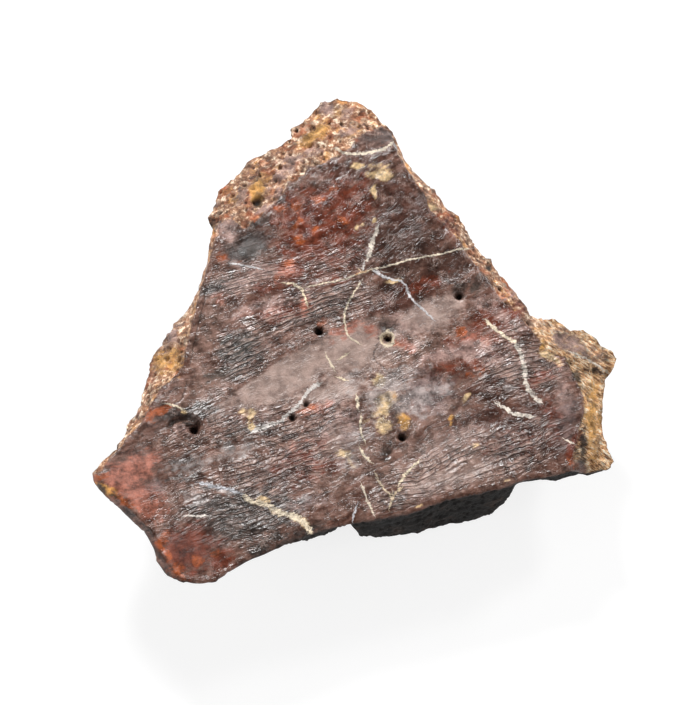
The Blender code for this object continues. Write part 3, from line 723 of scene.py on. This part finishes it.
def mark_surfaces(skin):
    """Masks that tell the material which kind of bone each point is."""
    front = smooth_step(*FRONT_FADE, skin.normals()[:, 1])
    high = smooth_step(*WALL_FADE, skin.points[:, 2])
    wall = skin.share[WALL] * (1 - front) * high
    skin.mark("wall", wall)
    skin.mark("broken", np.clip(skin.broken + wall, 0, 1))
    skin.mark("below", skin.share[UNDERSIDE] + skin.share[WALL] - wall)
    # How far a point faces the front, where the material paints shade
    skin.mark("front", front)
    skin.mark("flow", fibre_places(skin.pixels))
    for name, blots in (("fibrous", FIBROUS), ("sparkle", SPARKLING), ("satin", SATIN)):
        skin.mark(name, patches(skin.pixels, blots))
    skin.mark("knob", smooth_step(*KNOB_BAND, skin.pixels[:, 0]) * skin.upper)


def mark_stains_and_painted_light(skin):
    """How much of each stain, painted sheen and painted shade lies at each point, with its border
    shaken by noise.
    """
    places = flat(skin.pixels)
    shift = np.column_stack([sum(reach * noise_at(places / size, seed + more)
                                 for reach, size, more in STAIN_AND_PAINTED_LIGHT_SHIFTS) for seed in (91, 92)])
    shaken = skin.pixels + shift
    side = line_gap(SHEEN_EDGE, skin.pixels + shift * 0.3)[1]
    below_edge = smooth_step(*SHEEN_FADE, side)
    for name, (_, _, _, blots) in STAINS_AND_PAINTED_LIGHT.items():
        cover = patches(shaken, blots) * skin.upper
        # The painted sheen stops at the sheen's edge
        if name == "mauve_sheen":
            cover *= below_edge
        skin.mark(name, cover)


def mark_lines(skin, name, lines):
    """Stores the nearest line's distance, signed distance and half width at each point.

    Returns what that line's second number is there, which for a vein is its tint.
    """
    gap = np.full(len(skin.points), 1.0)
    side, width, own = gap.copy(), np.zeros(len(gap)), np.zeros(len(gap))
    for half_width, number, line in lines:
        here, signed = line_gap(rounded(line), skin.pixels)
        closer = (here < gap) & skin.upper
        side = np.where(closer, signed, side)
        width = np.where(closer, half_width, width)
        own = np.where(closer, number, own)
        gap = np.where(closer, here, gap)
    skin.mark(name, np.column_stack((gap, side, width)) * 1000)
    return own


class Shader:
    """Short calls that add linked nodes to one material."""

    def __init__(self, name):
        self.material = bpy.data.materials.new(name)
        self.material.use_nodes = True
        self.tree = self.material.node_tree
        self.tree.nodes.clear()
        self.bone = None  # where its noise is read in the bone
        self.flow = None  # and along and across the fibres

    def add(self, kind, feeds, **settings):
        node = self.tree.nodes.new("ShaderNode" + kind)
        for name, value in settings.items():
            setattr(node, name, value)
        for socket, value in feeds.items():
            if isinstance(value, bpy.types.NodeSocket):
                self.tree.links.new(value, node.inputs[socket])
            else:
                node.inputs[socket].default_value = value
        return node

    def math(self, operation, *values):
        return self.add("Math", dict(enumerate(values)), operation=operation).outputs[0]

    def total(self, *values):
        return functools.reduce(functools.partial(self.math, "ADD"), values)

    def times(self, *values):
        return functools.reduce(functools.partial(self.math, "MULTIPLY"), values)

    def step(self, value, low, high, start=0.0, end=1.0, kind="SMOOTHSTEP"):
        feeds = {0: value, 1: low, 2: high, 3: start, 4: end}
        return self.add("MapRange", feeds, interpolation_type=kind).outputs[0]

    def noise(self, place, scale, detail=3.0, roughness=0.55, distortion=0.0):
        """Noise of this many waves per metre, or per millimetre over stretched fibres."""
        feeds = {"Vector": place, "Scale": scale, "Detail": detail,
                 "Roughness": roughness, "Distortion": distortion}
        return self.add("TexNoise", feeds).outputs[0]

    def stretch(self, place, scale):
        return self.add("Mapping", {"Vector": place, "Scale": scale}).outputs[0]

    def attribute(self, name, output="Fac"):
        return self.add("Attribute", {}, attribute_name=name).outputs[output]

    def parts(self, vector):
        return self.add("SeparateXYZ", {0: vector}).outputs

    def mix(self, share, first, second, blend="MIX"):
        feeds = {0: share, 6: first, 7: second}
        node = self.add("Mix", feeds, data_type="RGBA", blend_type=blend)
        return node.outputs[2]

    def ramp(self, value, stops):
        node = self.add("ValToRGB", {0: value})
        elements = node.color_ramp.elements
        elements[0].position, elements[0].color = stops[0][0], (*stops[0][1], 1)
        elements[1].position, elements[1].color = stops[-1][0], (*stops[-1][1], 1)
        for position, colour in stops[1:-1]:
            elements.new(position).color = (*colour, 1)
        return node.outputs[0]

    def surface(self, feeds):
        """Ends the material with one shader node and returns it."""
        surface = self.add("BsdfPrincipled", feeds)
        output = self.add("OutputMaterial", {})
        self.tree.links.new(surface.outputs[0], output.inputs["Surface"])
        return self.material


def put(name, data):
    """A new object of the scene."""
    thing = bpy.data.objects.new(name, data)
    bpy.context.scene.collection.objects.link(thing)
    return thing


def thin_line(shader, name, wobble):
    """Mask of the traced lines stored under this name, in millimetres."""
    gap, side, width = shader.parts(shader.attribute(name, "Vector"))
    wobble = shader.times(wobble, shader.step(width, 0.06, 0.2, 0.8, 2.2, kind="LINEAR"))
    shaken = shader.math("ADD", side, wobble)
    near = shader.step(gap, 0.62, 0.4)
    soft = shader.math("ADD", width, 0.035)
    core = shader.math("SUBTRACT", soft, shader.math("ABSOLUTE", shaken))
    return shader.times(shader.step(core, 0, 0.06), near)


def fibre_relief(shader):
    """Short overlapping fibres: height from 0 to 1 and how strongly they show."""
    along, across, _ = shader.parts(shader.flow)
    sway = shader.noise(shader.stretch(shader.flow, (0.55, 1.1, 1)), 1, 2)
    phase = shader.total(shader.times(across, 0.001 / FIBRE_SPACING), shader.times(sway, 1.5))
    saw = shader.math("FRACT", phase)
    ridge = shader.times(shader.step(saw, 0, 0.78, kind="LINEAR"),
                         shader.step(saw, 1, 0.8, kind="LINEAR"))
    short = shader.noise(shader.stretch(shader.flow, (0.42, 0.95, 1)), 1, 3, 0.6)
    strength = shader.times(shader.step(short, 0.38, 0.52), shader.attribute("fibrous"),
                            shader.step(shader.attribute("mauve_sheen"), 0.15, 0.8, 1, 0.25))
    return ridge, strength


def wrinkle_relief(shader):
    """Curving wrinkles with crisp crests, broad ones and fine ones."""
    sway = shader.add("TexNoise", {"Vector": shader.stretch(shader.flow, (0.3, 0.5, 1)),
                                   "Scale": 1, "Detail": 2}).outputs["Color"]
    centred = shader.add("VectorMath", {0: sway, 1: (0.5, 0.5, 0.5)}, operation="SUBTRACT")
    shift = shader.add("VectorMath", {0: centred.outputs[0], "Scale": 4.5}, operation="SCALE")
    moved = shader.add("VectorMath", {0: shader.flow, 1: shift.outputs[0]}, operation="ADD").outputs[0]
    crests = []
    for scale in ((0.4, 1.35, 1), (0.95, 3.1, 1)):
        level = shader.noise(shader.stretch(moved, scale), 1, 2, 0.5)
        away = shader.math("ABSOLUTE", shader.math("SUBTRACT", level, 0.5))
        crests.append(shader.step(away, 0.12, 0))
    return crests


def ground_colour(shader):
    """Brown ground of the smooth face, mottled along the fibres."""
    streak = shader.noise(shader.stretch(shader.flow, (0.5, 1.9, 1)), 1, 5, 0.62)
    return shader.ramp(streak, GROUND_TONES)


def crossing_scratches(shader):
    """Fine crossing ridges, in three directions, in scattered places."""
    marks = []
    for turn, seed in ((0.35, 3), (-0.55, 7), (1.15, 11)):
        turned = shader.add("VectorRotate", {"Vector": shader.flow, "Angle": turn}).outputs[0]
        moved = shader.add("VectorMath", {0: turned, 1: (seed, seed, 0)}, operation="ADD")
        level = shader.noise(shader.stretch(moved.outputs[0], (0.34, 2.6, 1)), 1, 3, 0.5)
        away = shader.math("ABSOLUTE", shader.math("SUBTRACT", level, 0.5))
        marks.append(shader.step(away, 0.022, 0))
    scattered = shader.step(shader.noise(shader.bone, 620, 3), 0.5, 0.62)
    strongest = shader.math("MAXIMUM", shader.math("MAXIMUM", *marks[:2]), marks[2])
    return shader.times(strongest, scattered)


def knob_streaks(shader):
    """Fine steep streaks in the fibrous bone of the right end."""
    turned = shader.add("VectorRotate", {"Vector": shader.flow, "Angle": -0.95}).outputs[0]
    return shader.noise(shader.stretch(turned, (1.3, 5, 1)), 1, 5, 0.7, 0.5)


def broken_colour(shader, streaks):
    """Ochre broken bone with cream grains, rusty patches, painted highlight on pore lips and painted
    shade in pores.
    """
    grain = shader.noise(shader.bone, 1800, 6, 0.72)
    colour = shader.ramp(grain, BROKEN_TONES)
    rusty = shader.step(shader.noise(shader.bone, 620, 3), 0.52, 0.66)
    colour = shader.mix(shader.times(rusty, 0.7), colour, RUSTY)
    golden = shader.step(shader.noise(shader.bone, 480, 4, 0.6), 0.55, 0.64)
    colour = shader.mix(shader.times(golden, 0.6), colour, GOLDEN)
    # Painted highlight on the pores' raised lips
    colour = shader.mix(shader.times(shader.attribute("lip"), 0.45), colour, PORE_LIP_HIGHLIGHT)
    crust = shader.step(shader.noise(shader.bone, 330, 6, 0.66), 0.36, 0.62, 0.95, 0.5)
    colour = shader.mix(shader.times(crust, shader.attribute("wall")), colour, WALL_CRUST)
    fibrous = shader.ramp(streaks, KNOB_TONES)
    colour = shader.mix(shader.times(shader.attribute("knob"), 0.85), colour, fibrous)
    pore = shader.step(shader.attribute("pore"), 0.25, 0.85)
    return shader.mix(shader.times(pore, 0.8), colour, PORE_SHADE)


def hidden_colour(shader):
    """Dark bone of the front edge and the underside, with painted shade, nearly black, where it faces
    the front.
    """
    patch = shader.noise(shader.bone, 420, 5, 0.6)
    brown = shader.ramp(patch, HIDDEN_TONES)
    # Painted shade on what faces the front
    black = shader.ramp(patch, FRONT_SHADE_TONES)
    return shader.mix(shader.attribute("front"), brown, black)


def stain_and_paint_light(shader, colour):
    """Lays each stain, painted sheen and painted shade over the bone, ragged by noise of its own place.
    """
    breaks = shader.noise(shader.bone, 760, 6, 0.72, 0.3)
    streaks = shader.noise(shader.stretch(shader.flow, (0.7, 2.3, 1)), 1, 5, 0.7)
    jitter = shader.math("SUBTRACT", shader.total(breaks, streaks), 1)
    for name, (tint, share, ragged, _) in STAINS_AND_PAINTED_LIGHT.items():
        cover = shader.attribute(name)
        uneven = shader.total(cover, shader.times(jitter, ragged * 4.6))
        amount = shader.times(shader.step(uneven, 0.1, 0.82), share)
        amount = shader.times(amount, shader.step(cover, 0, 0.12))
        colour = shader.mix(amount, colour, (*tint, 1))
    return colour


def bone_material():
    """The scute's one material: all its marks over smooth, broken and hidden bone."""
    shader = Shader("fossil_bone_surface")
    shader.bone = shader.add("TexCoord", {}).outputs["Object"]
    shader.flow = shader.attribute("flow", "Vector")
    broken = shader.attribute("broken")
    below = shader.attribute("below")
    fine = shader.noise(shader.bone, 5200, 3, 0.6)
    ridge, strength = fibre_relief(shader)
    streaks = knob_streaks(shader)

    # Bone, stains and painted sheen, then the smooth face's flecks and fibres with painted
    # highlights and shade, scratches with painted highlights, painted glints and painted shade in holes
    colour = shader.mix(broken, ground_colour(shader), broken_colour(shader, streaks))
    colour = stain_and_paint_light(shader, colour)
    smooth = shader.times(shader.math("SUBTRACT", 1, broken),
                          shader.math("SUBTRACT", 1, below))
    broad, slight = wrinkle_relief(shader)
    unpolished = shader.step(shader.attribute("satin"), 0, 1, 1, 0.15)
    wrinkled = shader.times(shader.step(shader.attribute("mauve_sheen"), 0.15, 0.8, 1, 0.25),
                            shader.step(shader.attribute("fibrous"), 0, 0.8, 0.12, 1),
                            unpolished)
    # Flecks: a little relief, with painted highlight on their high spots and painted shade on their low
    # ones
    fleck = shader.noise(shader.stretch(shader.flow, (0.6, 2.2, 1)), 1, 3, 0.55, 0.3)
    pale = shader.times(shader.step(fleck, 0.59, 0.67), smooth, wrinkled)
    colour = shader.mix(shader.times(pale, 0.36), colour, PAINTED_FLECK_HIGHLIGHT)
    fleck_shade = shader.times(shader.step(fleck, 0.44, 0.34), smooth, wrinkled)
    colour = shader.mix(shader.times(fleck_shade, 0.42), colour, PAINTED_FLECK_SHADE)
    lit = shader.times(shader.step(ridge, 0.5, 0.95), strength, smooth)
    colour = shader.mix(shader.times(lit, 0.35), colour, LIT_RIDGE)
    crease = shader.times(shader.step(ridge, 0.34, 0.05), strength, smooth)
    colour = shader.mix(shader.times(crease, 0.66), colour, CREASE_SHADE)
    # Fine crossing ridges, raised a little and painted pale as highlights
    scratch = shader.times(crossing_scratches(shader), smooth, unpolished,
                           shader.step(shader.attribute("mauve_sheen"), 0.15, 0.8, 1, 0.35))
    colour = shader.mix(shader.times(scratch, 0.28), colour, SCRATCH_HIGHLIGHT)
    # Painted glints: scattered pale dots, also raised a little
    dots = shader.noise(shader.bone, 4300, 4, 0.8, 0.6)
    least = shader.step(shader.attribute("sparkle"), 0, 1, 0.74, 0.61, kind="LINEAR")
    sparkle = shader.step(shader.math("SUBTRACT", dots, least), 0, 0.04)
    sparkle = shader.times(sparkle, shader.step(below, 0.5, 0))
    colour = shader.mix(shader.times(sparkle, 0.85), colour, PAINTED_GLINT)
    # Painted shade in the holes
    colour = shader.mix(shader.attribute("hollow"), colour, HOLE_SHADE)

    # Engraved lines and pale veins
    meander = shader.noise(shader.bone, 1500, 3, 0.6)
    wobble = shader.times(shader.math("SUBTRACT", shader.total(meander, fine), 1), 0.34)
    crack = thin_line(shader, "crack", wobble)
    colour = shader.mix(shader.times(crack, 0.7), colour, CRACK_SHADE)
    crumbs = shader.noise(shader.bone, 3400, 2, 0.6)
    vein = shader.times(thin_line(shader, "vein", wobble), shader.step(crumbs, 0.32, 0.44, 0.3, 1))
    tint = shader.ramp(shader.attribute("vein_tint"), VEIN_TONES)
    colour = shader.mix(shader.times(vein, 0.92), colour, tint)

    # Hidden bone, then mottling over all of it
    colour = shader.mix(below, colour, hidden_colour(shader))
    mottle = shader.noise(shader.bone, 900, 6, 0.68)
    dull = shader.math("MAXIMUM", broken, below)
    depth = shader.times(shader.step(dull, 0, 1, 1.35, 1.25),
                         shader.step(shader.attribute("mauve_sheen"), 0.2, 0.9, 1, 0.5))
    change = shader.total(shader.step(fine, 0.3, 0.72, -0.11, 0.13),
                          shader.step(mottle, 0.32, 0.68, -0.42, 0.5))
    speckle = shader.math("ADD", shader.times(change, depth), 1)
    colour = shader.mix(1, colour, speckle, "MULTIPLY")

    # Gloss
    sheen = shader.step(shader.attribute("mauve_sheen"), 0, 1, 0, 0.12)
    gloss = shader.step(shader.noise(shader.bone, 900, 3), 0.3, 0.7, 0.13, 0.24)
    gloss = shader.total(gloss, sheen, shader.times(shader.attribute("satin"), 0.2))
    roughness = shader.total(gloss, shader.times(broken, 0.35), shader.times(below, 0.8),
                             shader.times(vein, 0.25))

    # Relief too fine for the mesh, in millimetres
    grit = shader.noise(shader.bone, 3600, 5, 0.7)
    pits = shader.noise(shader.bone, 8200, 2, 0.5)
    height = shader.total(
        shader.times(ridge, strength, smooth, FIBRE_HEIGHT * 1000),
        shader.times(broad, smooth, wrinkled, BROAD_WRINKLE * 1000),
        shader.times(slight, smooth, shader.step(wrinkled, 0, 1, 0.6, 1), unpolished,
                     SLIGHT_WRINKLE * 1000),
        shader.times(fleck, smooth, wrinkled, 0.05),
        shader.times(shader.noise(shader.bone, 1500, 4, 0.6), smooth, unpolished, 0.05),
        shader.times(pits, 0.005),
        shader.times(vein, 0.03),
        shader.times(sparkle, 0.03),
        shader.times(scratch, 0.01),
        shader.times(streaks, shader.attribute("knob"), broken, 0.5),
        shader.times(grit, shader.step(dull, 0, 1, 0.02, 0.2)))
    bump = shader.add("Bump", {"Strength": 1, "Distance": 0.001, "Height": height})
    return shader.surface({"Base Color": colour, "Roughness": roughness,
                           "Normal": bump.outputs[0], "Specular IOR Level": 0.42})


def make_scute():
    """The one piece: the CAD's scute with its relief, marks and material."""
    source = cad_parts["scute"]
    skin = Skin(dense_copy(source))
    even_out(skin)
    skin.locate()
    shape_face(skin)
    shape_broken(skin)
    mark_surfaces(skin)
    mark_stains_and_painted_light(skin)
    skin.mark("vein_tint", mark_lines(skin, "vein", VEINS))
    mark_lines(skin, "crack", CRACKS)
    skin.store()
    mesh = skin.mesh
    mesh.materials.clear()
    mesh.materials.append(bone_material())
    mesh.polygons.foreach_set("material_index", np.zeros(len(mesh.polygons), np.int32))
    mesh.shade_smooth()
    scute = put("scute_bone", mesh)
    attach(scute, "root")
    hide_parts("scute")


def make_floor():
    """Pale floor, flat under the scute, whose far rim curves up as a backdrop."""
    mesh = bpy.data.meshes.new("floor")
    corners = [(radius * math.cos(math.tau * side / FLOOR_SIDES),
                radius * math.sin(math.tau * side / FLOOR_SIDES), height)
               for radius, height in FLOOR_RINGS for side in range(FLOOR_SIDES)]
    faces = [tuple(range(FLOOR_SIDES))]
    for ring in range(len(FLOOR_RINGS) - 1):
        for side in range(FLOOR_SIDES):
            start = ring * FLOOR_SIDES + side
            turned = ring * FLOOR_SIDES + (side + 1) % FLOOR_SIDES
            faces.append((start, start + FLOOR_SIDES, turned + FLOOR_SIDES, turned))
    mesh.from_pydata(corners, [], faces)
    mesh.shade_smooth()
    mesh.materials.append(Shader("pale_floor").surface({
        "Base Color": (0.30, 0.30, 0.30, 1), "Roughness": 0.9, "Specular IOR Level": 0.1,
        "Emission Color": (1, 1, 1, 1), "Emission Strength": 0.80}))
    floor = put("floor", mesh)


def soft_light(name, place, size, power):
    """Square area light that faces the scute."""
    light = bpy.data.lights.new(name, "AREA")
    light.size = size
    light.energy = power
    lamp = put(name, light)
    lamp.location = place
    lamp.rotation_euler = (AIM - Vector(place)).to_track_quat("-Z", "Y").to_euler()


def make_lights():
    soft_light("window", (-0.12, 0.44, 0.40), 0.13, 2.8)
    soft_light("window_right", (0.32, 0.34, 0.36), 0.10, 1.1)
    soft_light("fill_right", (0.50, -0.20, 0.45), 0.40, 1.05)
    soft_light("fill_left", (-0.55, -0.20, 0.40), 0.40, 0.95)
    world = bpy.data.worlds.new("studio")
    world.use_nodes = True
    background = world.node_tree.nodes["Background"]
    background.inputs["Color"].default_value = (1, 1, 1, 1)
    background.inputs["Strength"].default_value = 0.12
    bpy.context.scene.world = world


def make_camera():
    camera_data = bpy.data.cameras.new("photo_view")
    camera_data.sensor_width = SENSOR_WIDTH_MM
    camera_data.lens = VIEW_DISTANCE / METRES_PER_PIXEL * SENSOR_WIDTH_MM / PHOTO_HEIGHT_PX
    camera_data.clip_start = 0.01
    camera = put("photo_view", camera_data)
    back = Vector((0, -math.cos(VIEW_ELEVATION), math.sin(VIEW_ELEVATION)))
    camera.location = AIM + back * VIEW_DISTANCE
    camera.rotation_euler = (-back).to_track_quat("-Z", "Y").to_euler()
    bpy.context.scene.camera = camera


make_scute()
make_floor()
make_lights()
make_camera()
bpy.context.scene.view_settings.view_transform = "Standard"
